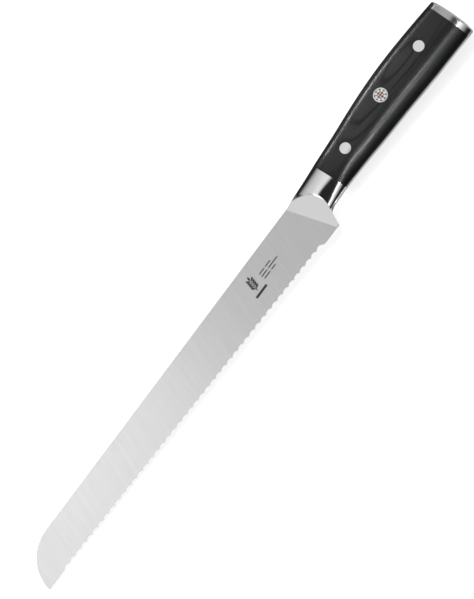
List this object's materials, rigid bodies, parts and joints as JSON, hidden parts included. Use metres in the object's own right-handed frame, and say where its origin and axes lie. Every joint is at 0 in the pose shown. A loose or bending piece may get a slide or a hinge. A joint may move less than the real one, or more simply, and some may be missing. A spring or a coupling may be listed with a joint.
{
  "type": "bread knife",
  "caption": "Long serrated bread knife with a full tang, polished steel bolsters, black laminated-wood scales, rivets, a mosaic pin and a steel end cap.",
  "frame": {"origin": "middle of the knife's bounding box in plan, on the surface that it lies on with its right side down", "axes": "+X from the blade's tip to the butt, +Y from the edge to the spine, +Z out of the knife's left side"},
  "size_m": [0.3832, 0.0352, 0.0189],
  "materials": {
    "blade_steel": "satin, brushed across the blade",
    "polished_steel": "mirror-polished stainless steel, not plated",
    "cap_steel": "fine satin with polished edges",
    "black_wood": "resin-laminated black wood, smooth satin",
    "rivet_steel": "fine satin, ground flush",
    "copper": "polished copper",
    "dark_resin": "cast resin, polished"
  },
  "bodies": {
    "root": {"blade_and_tang": "blade_steel", "left_bolster": "polished_steel", "right_bolster": "polished_steel", "end_cap": "cap_steel", "left_scale": "black_wood", "right_scale": "black_wood", "front_rivet_post": "rivet_steel", "front_rivet_sleeve": "rivet_steel", "rear_rivet_post": "rivet_steel", "rear_rivet_sleeve": "rivet_steel", "mosaic_pin_tube": "rivet_steel", "mosaic_pin_steel_rods": "rivet_steel", "mosaic_pin_copper_rods": "copper", "mosaic_pin_resin": "dark_resin"}
  },
  "joints": []
}
